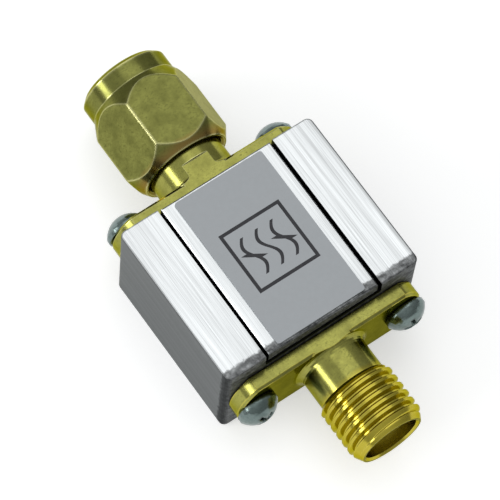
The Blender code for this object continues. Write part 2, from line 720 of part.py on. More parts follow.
def build_board(material):
    """The circuit board lies on the pocket's shelf."""
    length = POCKET_LENGTH - 2 * BOARD_GAP
    bm = block(length, POCKET_WIDTH - 2 * BOARD_GAP, BOARD_BOTTOM, BOARD_TOP)
    round_corners(bm, POCKET_CORNER_RADIUS, segments=3)
    place(bm, "circuit_board", None).data.materials.append(material)


def build_filter_chip(material):
    """The resonator chip in the middle of the board, a glazed ceramic block."""
    length, width, height = CHIP_SIZE
    low = BOARD_TOP + COMPONENT_GAP
    bm = block(length, width, low, low + height)
    break_rims(bm, CHIP_EDGE_BREAK, (low + height,), segments=1)
    place(bm, "filter_chip", None).data.materials.append(material)


def build_passive(name, x, y, turn, material):
    """A chip capacitor or inductor: a waisted body between two metal end caps, all one piece."""
    length, width, height = PASSIVE_SIZE
    bm = block(length, width, 0.0, height)
    for cap in (-1, 1):
        bmesh.ops.bisect_plane(
            bm,
            geom=list(bm.verts) + list(bm.edges) + list(bm.faces),
            plane_co=(cap * (length / 2 - PASSIVE_CAP_LENGTH), 0.0, 0.0),
            plane_no=(1.0, 0.0, 0.0),
        )
    around = [face for face in bm.faces if abs(face.calc_center_median().x) < MERGE_DISTANCE]
    bmesh.ops.inset_region(bm, faces=around, thickness=PASSIVE_WAIST, depth=-PASSIVE_WAIST)
    bmesh.ops.recalc_face_normals(bm, faces=bm.faces)
    piece = place(bm, name, None, (x, y, BOARD_TOP + COMPONENT_GAP))
    piece.rotation_euler = (0.0, 0.0, turn)
    piece.data.materials.append(material)


def build_passives(capacitor, inductor):
    """A series inductor between each contact and the chip, with a shunt capacitor beside it."""
    tail_tip = HALF_LENGTH - END_WALL - CONTACT_TAIL_LENGTH
    station = (CHIP_SIZE[0] / 2 + tail_tip) / 2
    quarter = math.pi / 2
    build_passive("inductor_in", -station, 0.0, quarter, inductor)
    build_passive("inductor_out", station, 0.0, quarter, inductor)
    build_passive("capacitor_in", -station, -SHUNT_OFFSET, quarter, capacitor)
    build_passive("capacitor_out", station, SHUNT_OFFSET, quarter, capacitor)


def main():
    clear_scene()
    axis = bpy.data.objects.new("connector_axis", None)
    bpy.context.scene.collection.objects.link(axis)
    axis.location = (0.0, 0.0, AXIS_HEIGHT)

    aluminium = make_material("milled_aluminium", (0.62, 0.64, 0.65), 0.32, 1.0)
    cover = make_material("brushed_cover", (0.72, 0.74, 0.75), 0.30, 1.0)
    foil = make_material("label_foil", (0.42, 0.44, 0.44), 0.55, 0.0)
    brass = make_material("gilt_brass", (0.50, 0.44, 0.12), 0.28, 1.0)
    nut_brass = make_material("nut_brass", (0.46, 0.42, 0.13), 0.32, 1.0)
    gold = make_material("contact_gold", (0.80, 0.60, 0.22), 0.25, 1.0)
    spring = make_material("ring_bronze", (0.45, 0.32, 0.18), 0.35, 1.0)
    rubber = make_material("gasket_rubber", (0.45, 0.08, 0.05), 0.70, 0.0)
    plastic = make_material("white_insulator", (0.85, 0.85, 0.83), 0.45, 0.0)
    zinc = make_material("zinc_screw", (0.38, 0.44, 0.44), 0.30, 1.0)
    laminate = make_material("board_laminate", (0.05, 0.22, 0.12), 0.45, 0.0)
    ceramic = make_material("chip_ceramic", (0.70, 0.68, 0.62), 0.40, 0.0)
    tan = make_material("capacitor_body", (0.55, 0.40, 0.24), 0.45, 0.0)
    dark = make_material("inductor_body", (0.10, 0.12, 0.16), 0.40, 0.0)

    build_housing(aluminium, axis)
    build_lid(cover)
    build_label(foil)
    build_plug_body(brass, axis)
    build_coupling_nut(nut_brass, axis)
    build_snap_ring(spring, axis)
    build_gasket(rubber, axis)
    build_insulator("plug_insulator", PLUG_SIDE, FERRULE_END, plastic, axis)
    build_plug_pin(gold, axis)
    build_jack_body(brass, axis)
    build_insulator("jack_insulator", JACK_SIDE, JACK_END - SOCKET_BORE_DEPTH, plastic, axis)
    build_jack_contact(gold, axis)
    build_screws(zinc, axis)
    build_board(laminate)
    build_filter_chip(ceramic)
    build_passives(tan, dark)


main()
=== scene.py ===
# %% [markdown] # A coaxial band-pass filter The filter is a small milled block with a gilt plug at
# one end and a gilt jack at the other. The packed solids give the true shape of each piece, threads
# included, so no piece of the filter is modelled here. This script gives the pieces their finishes,
# puts a floor under them and lights them.

import math

import bmesh
import bpy
from mathutils import Matrix, Vector


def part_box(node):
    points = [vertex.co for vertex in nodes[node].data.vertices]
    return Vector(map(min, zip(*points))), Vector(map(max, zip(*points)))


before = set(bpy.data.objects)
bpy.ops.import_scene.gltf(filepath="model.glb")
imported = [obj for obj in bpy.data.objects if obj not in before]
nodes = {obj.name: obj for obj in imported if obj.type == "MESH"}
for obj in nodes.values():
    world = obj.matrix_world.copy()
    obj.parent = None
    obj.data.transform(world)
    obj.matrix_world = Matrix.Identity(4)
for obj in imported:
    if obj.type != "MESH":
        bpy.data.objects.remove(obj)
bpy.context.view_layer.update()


# %% [markdown]
# ## Where the camera stands
#
# The photo looks down on the filter from the front right, with the jack nearest. A camera could be
# turned by hand until the picture looks right. Here it is worked out from a few angles, so that each
# can be changed by itself: azimuth turns round the upright axis, elevation rises from the floor, and
# roll leans the picture. Two short steps, to the side and up, bring the filter to its place in the
# picture.

# %% Work out where the camera stands
AZIMUTH = math.radians(48.0)
ELEVATION = math.radians(67.0)
ROLL = math.radians(7.5)
DISTANCE = 0.276
SIDESTEP = -0.00119
RISE = 0.00163
UPRIGHT = Vector((0.0, 0.0, 1.0))
HOUSING_CENTRE = Vector((0.0, 0.0, 0.0048))


def way_towards(azimuth, elevation):
    """The direction from the filter to a camera or a lamp."""
    level_part = math.cos(elevation)
    return Vector((math.sin(azimuth) * level_part, -math.cos(azimuth) * level_part, math.sin(elevation)))


back = way_towards(AZIMUTH, ELEVATION)
level = UPRIGHT.cross(back).normalized()
climb = back.cross(level)
right = level * math.cos(ROLL) + climb * math.sin(ROLL)
up = climb * math.cos(ROLL) - level * math.sin(ROLL)
camera_place = HOUSING_CENTRE + back * DISTANCE + right * SIDESTEP + up * RISE
print("camera place:", [round(value, 4) for value in camera_place])

# %% [markdown]
# ## The camera
#
# A long lens from a fair distance keeps the edges of a small thing nearly parallel, as in the photo.
# The lens is worked out from the size of a metre in the picture, so the distance can be changed and
# the filter stays as large.

# %% Build the camera
SENSOR_WIDTH = 36.0
PICTURE_WIDTH = 500
PIXELS_PER_METRE = 13246
NEAREST, FARTHEST = 0.01, 10.0
camera_data = bpy.data.cameras.new("camera")
camera_data.sensor_width = SENSOR_WIDTH
camera_data.lens = PIXELS_PER_METRE * DISTANCE / PICTURE_WIDTH * SENSOR_WIDTH
camera_data.clip_start = NEAREST
camera_data.clip_end = FARTHEST
camera = bpy.data.objects.new("camera", camera_data)
turn = Matrix((right, up, back)).transposed().to_4x4()
camera.matrix_world = Matrix.Translation(camera_place) @ turn
bpy.context.scene.collection.objects.link(camera)
bpy.context.scene.camera = camera
print("lens:", round(camera_data.lens, 1), "mm")

# %% [markdown]
# ## Formulas made of nodes
#
# Every finish here is worked out from places on the piece, so it needs no picture and looks right
# from all sides. That takes many Math nodes, and a Math node does one sum only. They could be added
# one by one. Here a small class adds them behind the signs of a formula: where a and b are measures,
# a * b + 1.0 adds two nodes, and a > b gives 1 where it is true and 0 elsewhere. So each finish reads
# as a recipe.

# %% Let the signs of a formula stand for nodes
class Measure:
    """A number or a colour that changes over the surface, and the tree that works it out."""

    def __init__(self, tree, socket):
        self.tree = tree
        self.socket = socket

    def __add__(self, other):
        return worked_out(self.tree, "ADD", self, other)

    def __sub__(self, other):
        return worked_out(self.tree, "SUBTRACT", self, other)

    def __rsub__(self, other):
        return worked_out(self.tree, "SUBTRACT", other, self)

    def __mul__(self, other):
        return worked_out(self.tree, "MULTIPLY", self, other)

    def __truediv__(self, other):
        return worked_out(self.tree, "DIVIDE", self, other)

    def __gt__(self, other):
        return worked_out(self.tree, "GREATER_THAN", self, other)

    def __lt__(self, other):
        return worked_out(self.tree, "LESS_THAN", self, other)

    def __abs__(self):
        return worked_out(self.tree, "ABSOLUTE", self)


print("the signs of a formula: + - * / > < abs")

# %% [markdown]
# ## Adding nodes and feeding sockets
#
# The signs need three helpers. The first adds a node with its settings. The second feeds a socket: a
# link where the value changes over the surface, and a plain number or colour where it doesn't, so
# that no recipe has to tell the two apart. The third adds a Math node, feeds it and gives back its
# result.

# %% Add nodes and feed their sockets
def add(tree, kind, **settings):
    node = tree.nodes.new(kind)
    for key, value in settings.items():
        setattr(node, key, value)
    return node


def feed(tree, source, socket):
    """Link a socket to a measure or another socket, or set it to a plain number or colour."""
    if isinstance(source, Measure):
        source = source.socket
    if isinstance(source, bpy.types.NodeSocket):
        tree.links.new(source, socket)
    elif socket.type == "RGBA":
        socket.default_value = (*source, 1.0)
    else:
        socket.default_value = source


def worked_out(tree, operation, *terms):
    node = add(tree, "ShaderNodeMath", operation=operation)
    for term, socket in zip(terms, node.inputs):
        feed(tree, term, socket)
    return Measure(tree, node.outputs[0])


def larger(first, second):
    return worked_out(first.tree, "MAXIMUM", first, second)


print("helpers:", add.__name__, feed.__name__, worked_out.__name__, larger.__name__)

# %% [markdown]
# ## Groups
#
# A finish that several materials share is a node group, made once and placed in each of them with its
# own values. Its sockets are made on the group's interface: what it is given, and what it puts out.
# The kind of a socket follows from its starting value, because a colour has three numbers.

# %% Start a group
SHADES = {"Color": "NodeSocketColor", "Roughness": "NodeSocketFloat", "Height": "NodeSocketFloat"}


def new_group(name, inputs, outputs):
    """Start a node group. Returns it with the measures that it is given and the sockets that it puts out."""
    group = bpy.data.node_groups.new(name, "ShaderNodeTree")
    for label, value in inputs.items():
        is_colour = isinstance(value, tuple)
        kind = "NodeSocketColor" if is_colour else "NodeSocketFloat"
        socket = group.interface.new_socket(label, in_out="INPUT", socket_type=kind)
        socket.default_value = (*value, 1.0) if is_colour else value
    for label, kind in outputs.items():
        group.interface.new_socket(label, in_out="OUTPUT", socket_type=kind)
    entry = add(group, "NodeGroupInput")
    given = {label: Measure(group, entry.outputs[label]) for label in inputs}
    return group, given, add(group, "NodeGroupOutput").inputs


print("a metal group puts out:", ", ".join(SHADES))

# %% [markdown]
# ## Noise and ramps
#
# Wear, dirt and tool marks are irregular, so they start from noise. It is read from Object
# coordinates, which stay with the piece when it moves. A factor for each axis stretches or squeezes
# it. A ramp then picks the part of the noise that counts, and turns it into the range that is needed.

# %% Add noise and ramps
MILLIMETRES = 1000.0


def noise(tree, stretch, scale, detail=4.0, rough=0.55):
    """Soft spots between 0 and 1. A small factor in stretch draws them out along that axis."""
    mapping = add(tree, "ShaderNodeMapping")
    mapping.inputs["Scale"].default_value = [MILLIMETRES * factor for factor in stretch]
    feed(tree, add(tree, "ShaderNodeTexCoord").outputs["Object"], mapping.inputs["Vector"])
    texture = add(tree, "ShaderNodeTexNoise")
    feed(tree, mapping.outputs[0], texture.inputs["Vector"])
    for label, value in (("Scale", scale), ("Detail", detail), ("Roughness", rough)):
        texture.inputs[label].default_value = value
    return Measure(tree, texture.outputs["Fac"])


def ramp(measure, start, end, bottom=0.0, top=1.0):
    """Bottom up to the start, top from the end on, and a straight rise between them."""
    node = add(measure.tree, "ShaderNodeMapRange")
    labels = ("Value", "From Min", "From Max", "To Min", "To Max")
    for label, value in zip(labels, (measure, start, end, bottom, top)):
        feed(measure.tree, value, node.inputs[label])
    return Measure(measure.tree, node.outputs[0])


print("noise is read in units of", 1 / MILLIMETRES, "m")

# %% [markdown]
# ## Places and directions
#
# Many marks belong to one part of a piece, such as its end or its side. Two things tell the parts
# apart: the place in millimetres from the origin, and the direction that the facet looks in. A facet
# gives its direction in the world, so that is turned back to the piece's own axes, or the marks would
# change as the nut turns.

# %% Read the place and the direction
def axes_of(tree, vector):
    parts = add(tree, "ShaderNodeSeparateXYZ")
    feed(tree, vector, parts.inputs[0])
    return [Measure(tree, socket) for socket in parts.outputs]


def place_on_piece(tree):
    """X, Y and Z on the piece, in millimetres."""
    mapping = add(tree, "ShaderNodeMapping")
    mapping.inputs["Scale"].default_value = [MILLIMETRES] * 3
    feed(tree, add(tree, "ShaderNodeTexCoord").outputs["Object"], mapping.inputs["Vector"])
    return axes_of(tree, mapping.outputs[0])


def facet_normal(tree):
    return add(tree, "ShaderNodeNewGeometry").outputs["True Normal"]


def carried(tree, vector, start, end):
    """A direction carried from one set of axes to another."""
    carry = add(tree, "ShaderNodeVectorTransform", vector_type="NORMAL")
    carry.convert_from = start
    carry.convert_to = end
    feed(tree, vector, carry.inputs[0])
    return carry.outputs[0]


def facet_way(tree):
    """How much each facet looks along X, Y and Z of its own piece."""
    return axes_of(tree, carried(tree, facet_normal(tree), "WORLD", "OBJECT"))


print("the marks follow the piece's own axes")

# %% [markdown]
# ## Brushed aluminium: the streaks
#
# The block and its cover were brushed along their length, so the metal shows long fine streaks, some
# darker than others. A photograph of brushed metal could be laid on it. Noise that is drawn out along
# X does the same without a picture, and it never repeats. A fine noise gives the single lines, and a
# broad one the darker bands.

# %% Start the brushed metal with its streaks
FINE_STREAKS = {"stretch": (0.05, 6.0, 6.0), "scale": 3.0, "detail": 3.0}
BROAD_STREAKS = {"stretch": (0.02, 1.0, 1.0), "scale": 2.2, "detail": 2.0}
FINE_SHARE = 0.6
STREAK_RANGE = (0.35, 0.65)

streaks, metal_in, metal_out = new_group(
    "streaks",
    {"Base": (0.8, 0.8, 0.8), "Depth": 0.2, "Seam Inner": 4.95, "Seam Outer": 5.27},
    SHADES,
)
x, y, z = place_on_piece(streaks)
sideways = abs(y)
looks_x, looks_y, _ = facet_way(streaks)
broad = noise(streaks, **BROAD_STREAKS)
lines = noise(streaks, **FINE_STREAKS) * FINE_SHARE + broad * (1.0 - FINE_SHARE)
spread = ramp(lines, *STREAK_RANGE, -1.0, 1.0)
print("streaks:", len(streaks.nodes), "nodes so far")

# %% [markdown]
# ## Brushed aluminium: the dull sides, with painted shade
#
# The two long sides of the block weren't brushed. They keep the dull skin of the drawn bar, and the
# streaks are faint there. They are also darkened, a painted shade. The sides could have a material of
# their own, but the solid is one mesh without material slots. So they are told by their place and by
# the direction that they look in, and the border falls on the edge.

# %% Find the drawn skin on the sides, and paint their shade
SIDE_FACE_FROM = 7.50
LOOKS_RANGE = (0.15, 0.85)
SKIN_CALM = 0.7
SIDE_SHADE_TONE = (0.13, 0.20)

side_skin_and_shade = ramp(abs(looks_y), *LOOKS_RANGE) * (sideways > SIDE_FACE_FROM)
depth_here = (1.0 - side_skin_and_shade * SKIN_CALM) * metal_in["Depth"]
# The sides' tone is painted shade: it keeps only a share of the aluminium's colour.
side_shade_tone = ramp(broad, *STREAK_RANGE, *SIDE_SHADE_TONE)
side_shade_kept = 1.0 - side_skin_and_shade * (1.0 - side_shade_tone)
print("the skin keeps", SIDE_SHADE_TONE, "of the light")

# %% [markdown]
# ## Brushed aluminium: the sawn ends, with painted shade
#
# The two ends were sawn across, and stayed rough and grey, and at the jack's end the roughness runs a
# little way over the top with a ragged border. Real dents would need a mesh of many thousand faces. A
# mask does it instead: it is 1 on the end faces and in a band near the jack's end, whose border
# wanders with a noise. The end faces are also darkened all over, a painted shade.

# %% Find the sawn ends, and paint shade on the end faces
TEARS = {"stretch": (1.0, 1.0, 1.0), "scale": 2.4, "detail": 5.0, "rough": 0.7}
SAW_MARKS = {"stretch": (1.0, 0.35, 5.0), "scale": 2.0, "detail": 3.0}
RAGGED = 0.9
BAND_START = 6.45
BAND_BORDER = (0.25, 0.45)
END_FACE = 6.5
SAWN_END_SHADE = 0.4
GRIT_RANGE = (0.14, 0.38)
GRIT_TONE = (0.10, 0.58)

tears = noise(streaks, **TEARS)
saw_marks = noise(streaks, **SAW_MARKS)
band = ramp(x + tears * RAGGED - BAND_START, *BAND_BORDER)
end_face = (abs(x) > END_FACE) * ramp(abs(looks_x), *LOOKS_RANGE)
band = larger(band, end_face)
grit = ramp(tears * saw_marks, *GRIT_RANGE, *GRIT_TONE)
# The end faces lose part of their light on top of the grit: painted shade.
end_grit_and_shade_kept = ((1.0 - band) + band * grit) * (1.0 - end_face * SAWN_END_SHADE)
print("the band starts", BAND_START, "mm from the middle")

# %% [markdown]
# ## Brushed aluminium: painted shade in the seams and on the far edge
#
# A dark line runs along each side of the cover, where it was pressed into the slot. The gap is in the
# solids, but it is so narrow that bright walls would fill it with light. So the walls of the gap are
# darkened, between two distances from the middle: a painted shade. The far edge and the far side
# below it get a painted shade as well.

# %% Paint shade into the seams and onto the far edge
SEAM_TOP = 9.50
SEAM_DEPTH = 1.4
SEAM_SHADE = 0.97
FAR_EDGE_SHADE_RANGE = (8.30, 8.60)
FAR_EDGE_SHADE_LOSS = 0.5

between = (sideways > metal_in["Seam Inner"]) * (sideways < metal_in["Seam Outer"])
in_height = (z < SEAM_TOP) * (z > SEAM_TOP - SEAM_DEPTH)
# Painted shade in the narrow seam.
seam_shade_kept = 1.0 - between * in_height * SEAM_SHADE
# Painted shade along the far edge and down the far side.
far_edge_shade_kept = 1.0 - ramp(y, *FAR_EDGE_SHADE_RANGE, 0.0, FAR_EDGE_SHADE_LOSS)
print("the seam is dark for", SEAM_DEPTH, "mm")

# %% [markdown]
# ## Brushed aluminium: colour, roughness and relief
#
# The marks could be mixed in as colours, one after another. Here each one is a share of the light
# that is kept, because shares are simply multiplied, and so the marks darken each other: the streaks
# and the grit, and the painted shade. The roughness follows the streaks, and the sawn metal is rougher.
# The height feeds a Bump node later.

# %% Put out the brushed metal
SMOOTH_RANGE = (0.3, 0.7)
BRUSHED_ROUGHNESS = (0.28, 0.46)
SAWN_ROUGHNESS = 0.22


def toned(colour, tone):
    """A colour made darker or lighter by a tone."""
    scaled = add(colour.tree, "ShaderNodeVectorMath", operation="SCALE")
    feed(colour.tree, colour, scaled.inputs[0])
    feed(colour.tree, tone, scaled.inputs["Scale"])
    return scaled.outputs[0]


# The tone holds the painted shade of the sides, the ends, the seams and the far edge, with the streaks and
# the grit.
tone = (spread * depth_here + 1.0) * end_grit_and_shade_kept * seam_shade_kept * side_shade_kept * far_edge_shade_kept
roughness = ramp(lines, *SMOOTH_RANGE, *BRUSHED_ROUGHNESS) + band * SAWN_ROUGHNESS
feed(streaks, toned(metal_in["Base"], tone), metal_out["Color"])
feed(streaks, roughness, metal_out["Roughness"])
feed(streaks, lines + band * (tears + saw_marks), metal_out["Height"])
print("streaks:", len(streaks.nodes), "nodes")

# %% [markdown]
# ## Mixing two finishes
#
# Worn plating is two metals in one place, the good one and the dull one, and the border between them
# follows no edge. Two materials side by side could only meet along the facets. A Mix node blends them
# inside one material, and a measure from 0 to 1 says how much of the second is seen.

# %% Mix two colours or directions
def mixed(amount, first, second, kind="RGBA"):
    """The first colour or direction where the amount is 0, and the second where it is 1."""
    node = add(amount.tree, "ShaderNodeMix", data_type=kind)
    for label, source in (("Factor", amount), ("A", first), ("B", second)):
        feed(amount.tree, source, node.inputs[label])
    return Measure(amount.tree, node.outputs["Result"])


print("mixed:", mixed.__doc__)

# %% [markdown]
# ## Plating: clouds, specks and scratches
#
# Both connectors are turned brass with a thin gold wash. Handling leaves it cloudy, with small dark
# specks and scratches. Paint would hide this under one colour, and a picture would show its seams on
# a thread. So three noises say how dull the wash is at each place, and the strongest of them counts.

# %% Start the plating with its wear
CLOUDS = {"stretch": (1.0, 1.0, 1.0), "scale": 0.8, "detail": 6.0, "rough": 0.65}
SPECKS = {"stretch": (1.0, 1.0, 1.0), "scale": 4.0, "detail": 5.0, "rough": 0.7}
SCRATCHES = {"stretch": (1.6, 0.8, 1.0), "scale": 4.0, "detail": 6.0, "rough": 0.75}
CLOUD_RANGE, CLOUD_DULL = (0.40, 0.70), 0.55
SPECK_RANGE, SPECK_DULL = (0.58, 0.70), 0.8
SCRATCH_RANGE, SCRATCH_DULL = (0.50, 0.66), 0.6
BRASS, DULL_BRASS = (0.6, 0.5, 0.2), (0.3, 0.25, 0.1)

plating, wash_in, wash_out = new_group(
    "plating",
    {
        "Bright": BRASS,
        "Dull": DULL_BRASS,
        "Stretch": BRASS,
        "Stretch Start": 100.0,
        "Stretch End": 101.0,
        "Stretch Amount": 0.0,
        "End Face Shade": 0.0,
    },
    SHADES,
)
clouds = noise(plating, **CLOUDS)
specks = noise(plating, **SPECKS)
scratches = noise(plating, **SCRATCHES)
fine_wear = larger(ramp(specks, *SPECK_RANGE) * SPECK_DULL, ramp(scratches, *SCRATCH_RANGE) * SCRATCH_DULL)
dulled = larger(ramp(clouds, *CLOUD_RANGE) * CLOUD_DULL, fine_wear)
colour = mixed(dulled, wash_in["Bright"], wash_in["Dull"])
print("plating:", len(plating.nodes), "nodes so far")

# %% [markdown]
# ## Plating: a stretch of another colour
#
# The thread, which nobody touches, stays a warmer gold, and the rear cone of the nut has tarnished
# brown. A second material would need a border on the mesh. Both are one stretch along the axis, so
# the group takes a second colour with a start and an end along X. The clouds make its borders wander,
# as real tarnish does.

# %% Colour one stretch along X
WANDER = 0.5
FADE = (0.0, 0.6)

along = place_on_piece(plating)[0] + (clouds - 0.5) * WANDER
inside = ramp(along - wash_in["Stretch Start"], *FADE) * ramp(wash_in["Stretch End"] - along, *FADE)
colour = mixed(inside * wash_in["Stretch Amount"], colour, wash_in["Stretch"])
print("the stretch fades over", FADE[1], "mm")

# %% [markdown]
# ## Plating: painted shade on the ends, roughness and the lathe's rings
#
# The faces that look along X are darkened towards the dull colour, a painted shade. They are found
# by their direction. The lathe leaves fine rings round the axis, far finer than a facet: noise that
# is squeezed along X and drawn out across it gives them as relief. A dull wash is also a rougher one.

# %% Put out the plating
END_ON = 0.92
END_FACE_SHADE_TONE = 0.5
END_FACE_SHADE_RANGE, END_FACE_SHADE_SHARE = (0.30, 0.60), (0.75, 1.0)
WASH_ROUGHNESS = (0.16, 0.32)
LATHE_RINGS = {"stretch": (9.0, 0.15, 0.15), "scale": 1.6, "detail": 2.0}
RING_SHARE = 0.6

# Painted shade on the faces that look along X.
end_face_shade = (abs(facet_way(plating)[0]) > END_ON) * wash_in["End Face Shade"]
end_face_shade = end_face_shade * ramp(clouds, *END_FACE_SHADE_RANGE, *END_FACE_SHADE_SHARE)
feed(plating, mixed(end_face_shade, colour, toned(wash_in["Dull"], END_FACE_SHADE_TONE)), wash_out["Color"])
feed(plating, ramp(dulled, 0.0, 1.0, *WASH_ROUGHNESS), wash_out["Roughness"])
rings = noise(plating, **LATHE_RINGS)
feed(plating, rings * RING_SHARE + specks * (1.0 - RING_SHARE), wash_out["Height"])
print("plating:", len(plating.nodes), "nodes")

# %% [markdown]
# ## Rounds that shade as rounds
#
# The packed solids are made of flat facets, so a turned barrel would catch the light in stripes. The
# real one is round. Smooth shading would bend the light over the sharp edges too, and the solids'
# meshes stay as they are. But on a surface turned about X the true direction is known: it keeps the
# facet's lean along X, and points straight away from the axis. The group swaps that direction in, and
# first it tells what was milled flat. A flat lies at one known distance from the axis.

# %% Start the group, and tell the milled flats
FLAT_BAND = 0.03
UPRIGHT_WALL = 0.99
TINY = 0.001

turned, lathe_in, lathe_out = new_group(
    "turned",
    {"Height": 4.8, "Reach": 5.0, "Flat": 0.0, "Ear": 0.0, "Edge": 0.0},
    {"Normal": "NodeSocketVector", "Edge Highlight": "NodeSocketFloat"},
)
_, y, z = place_on_piece(turned)
z = z - lathe_in["Height"]
facet_x, facet_y, facet_z = facet_way(turned)


def length_across(side, rise):
    return worked_out(turned, "SQRT", side * side + rise * rise)


lean = length_across(facet_y, facet_z)


def along_facet(side, rise):
    """How far a place lies from the axis, measured the way that the facet looks."""
    return (side * facet_y + rise * facet_z) / larger(lean, TINY)


is_flat = (abs(abs(along_facet(y, z)) - lathe_in["Flat"]) < FLAT_BAND) * (lean > UPRIGHT_WALL)
print("flats are found within", FLAT_BAND, "mm")

# %% [markdown]
# ## Rounds: the flange's ears
#
# The barrel is round about the main axis. The flange behind it has two rounded ears, each about a
# middle of its own. Each shape could have a group of its own. Here one group serves both: past the
# reach of the barrel, the place is measured from the middle of the nearer ear. A facet counts as
# round where it looks nearly straight away from the middle that it belongs to.

# %% Tell the rounds from the rest
ROUND_WITHIN = 11.0
FACET_SPREAD = math.cos(math.radians(ROUND_WITHIN))
LEANS = 0.05

is_far = length_across(y, z) > lathe_in["Reach"]
side = larger(abs(y) - is_far * lathe_in["Ear"], 0.0)
side = worked_out(turned, "SIGN", y) * side
radius = larger(length_across(side, z), TINY)
plane = along_facet(side, z)
in_reach = larger(1.0 - is_far, lathe_in["Ear"] > 0.0)
is_round = (abs(plane / radius) > FACET_SPREAD) * (in_reach * (lean > LEANS)) * (1.0 - is_flat)
print("a round facet looks outwards within", ROUND_WITHIN, "degrees")

# %% [markdown]
# ## Rounds: soft edges and a painted highlight
#
# No real edge is perfectly sharp: it has a small round that catches the light, and the edges of the
# nut shine. The meshes stay as they are, so a Bevel node gives the direction of a rounded edge. Where
# that differs from the facet's own direction, an edge is near, and this gives the mask of a painted
# highlight that brightens the edges' colour.

# %% Find the edges
EDGE_SAMPLES = 8
SHINE_STARTS, SHINE_FULL = 7.0, 14.0
EDGE_STARTS = math.cos(math.radians(SHINE_STARTS))
EDGE_FULL = math.cos(math.radians(SHINE_FULL))

edge_way = add(turned, "ShaderNodeBevel", samples=EDGE_SAMPLES)
feed(turned, lathe_in["Edge"], edge_way.inputs["Radius"])
agreement = add(turned, "ShaderNodeVectorMath", operation="DOT_PRODUCT")
feed(turned, edge_way.outputs[0], agreement.inputs[0])
feed(turned, facet_normal(turned), agreement.inputs[1])
# Painted highlight: a mask for a brighter colour along the edges.
edge_highlight = ramp(Measure(turned, agreement.outputs["Value"]), EDGE_FULL, EDGE_STARTS, 1.0, 0.0)
feed(turned, edge_highlight, lathe_out["Edge Highlight"])
print("an edge shines from", SHINE_STARTS, "degrees on, fully at", SHINE_FULL)

# %% [markdown]
# ## Rounds: the true direction
#
# The direction is put together from the facet's lean along X and the way out from the middle, and
# carried back to the world's axes, which a Normal socket expects. It replaces the bevelled direction
# wherever the surface is round.

# %% Build the direction, and mix it in
per_radius = worked_out(turned, "SIGN", plane) * lean / radius
true_way = add(turned, "ShaderNodeCombineXYZ")
for label, part in (("X", facet_x), ("Y", per_radius * side), ("Z", per_radius * z)):
    feed(turned, part, true_way.inputs[label])
round_way = carried(turned, true_way.outputs[0], "OBJECT", "WORLD")
feed(turned, mixed(is_round, edge_way.outputs[0], round_way, kind="VECTOR"), lathe_out["Normal"])
print("turned:", len(turned.nodes), "nodes")

# %% [markdown]
# ## A group in a material
#
# Each metal piece gets one of the two metal groups with its own values, such as its own brass. The
# group's sockets are fed by name, so the order doesn't matter. Any material that came with the solid
# is cleared first, because a mesh shows the one in its first slot.

# %% Place a group, and dress a piece
def placed(tree, group, values):
    """Place a group in a material with its own values. Returns what it puts out."""
    node = add(tree, "ShaderNodeGroup", node_tree=group)
    for label, value in values.items():
        feed(tree, value, node.inputs[label])
    return node.outputs


def dress(name, material):
    """Give a piece its material, and say so."""
    slots = nodes[name].data.materials
    slots.clear()
    slots.append(material)
    print(name, "wears", material.name)


print("metal groups:", streaks.name, plating.name)

# %% [markdown]
# ## A metal material
#
# The Principled shader stays in the material, and so do the values that are the same all over. Its
# Bump node takes the group's height, on top of the true direction where the piece was turned on a
# lathe. The rim is the colour of the metal at a grazing angle: white would bleach the brass, so it is
# set below white. On brass, a painted highlight is mixed over the wash at the edges.

# %% Build a metal from a group
RELIEF_DEPTH = 0.00001
EDGE_HIGHLIGHT_AMOUNT = 0.75
WHITE_RIM = (1.0, 1.0, 1.0)


def metal(name, group, values, rim=WHITE_RIM, bump=0.0, lathe=None, edge_highlight=None):
    material = bpy.data.materials.new(name)
    material.use_nodes = True
    tree = material.node_tree
    shader = tree.nodes["Principled BSDF"].inputs
    shader["Metallic"].default_value = 1.0
    feed(tree, rim, shader["Specular Tint"])
    surface = placed(tree, group, values)
    colour = surface["Color"]
    relief = add(tree, "ShaderNodeBump")
    relief.inputs["Strength"].default_value = bump
    relief.inputs["Distance"].default_value = RELIEF_DEPTH
    feed(tree, surface["Height"], relief.inputs["Height"])
    if lathe:
        rounds = placed(tree, turned, lathe)
        feed(tree, rounds["Normal"], relief.inputs["Normal"])
        if edge_highlight:
            # Painted highlight on the edges.
            colour = mixed(Measure(tree, rounds["Edge Highlight"]) * EDGE_HIGHLIGHT_AMOUNT, colour, edge_highlight)
    feed(tree, colour, shader["Base Color"])
    feed(tree, surface["Roughness"], shader["Roughness"])
    feed(tree, relief.outputs["Normal"], shader["Normal"])
    return material


print("relief depth:", RELIEF_DEPTH, "m")

# %% [markdown]
# ## The block and its cover
#
# Both are the same aluminium. They differ in where the seam is seen from: on the block it is the wall
# of the slot, so the painted shade covers everything inside the slot, and on the cover only its two edges.

# %% Dress the block and its cover
BARE_ALUMINIUM = (0.74, 0.76, 0.77)
GREY_RIM = (0.76, 0.78, 0.78)
BRUSH_RELIEF = 0.25
SEAM_INNER, SEAM_OUTER = 4.95, 5.27

for piece, finish, depth, inner in (
    ("housing", "aluminium", 0.34, 0.0),
    ("lid", "cover_metal", 0.30, SEAM_INNER),
):
    values = {"Base": BARE_ALUMINIUM, "Depth": depth, "Seam Inner": inner, "Seam Outer": SEAM_OUTER}
    dress(piece, metal(finish, streaks, values, rim=GREY_RIM, bump=BRUSH_RELIEF))

# %% [markdown]
# ## The turned bar
#
# The plug and the jack are each turned from one bar with their flange, which is milled flat above and
# below and has round ears. The rounds need the lathe's axis and the middle of an ear. Both could be
# typed in, but they would be wrong as soon as the part changed. So they are measured from the jack's
# box in the frame, and only what a box doesn't show is given here.

# %% Measure the bar
FLANGE_HALF_HEIGHT = 2.975
EAR_BULGE = 0.55
BARREL_REACH = 3.5
FLANGE_EDGE = 0.00013

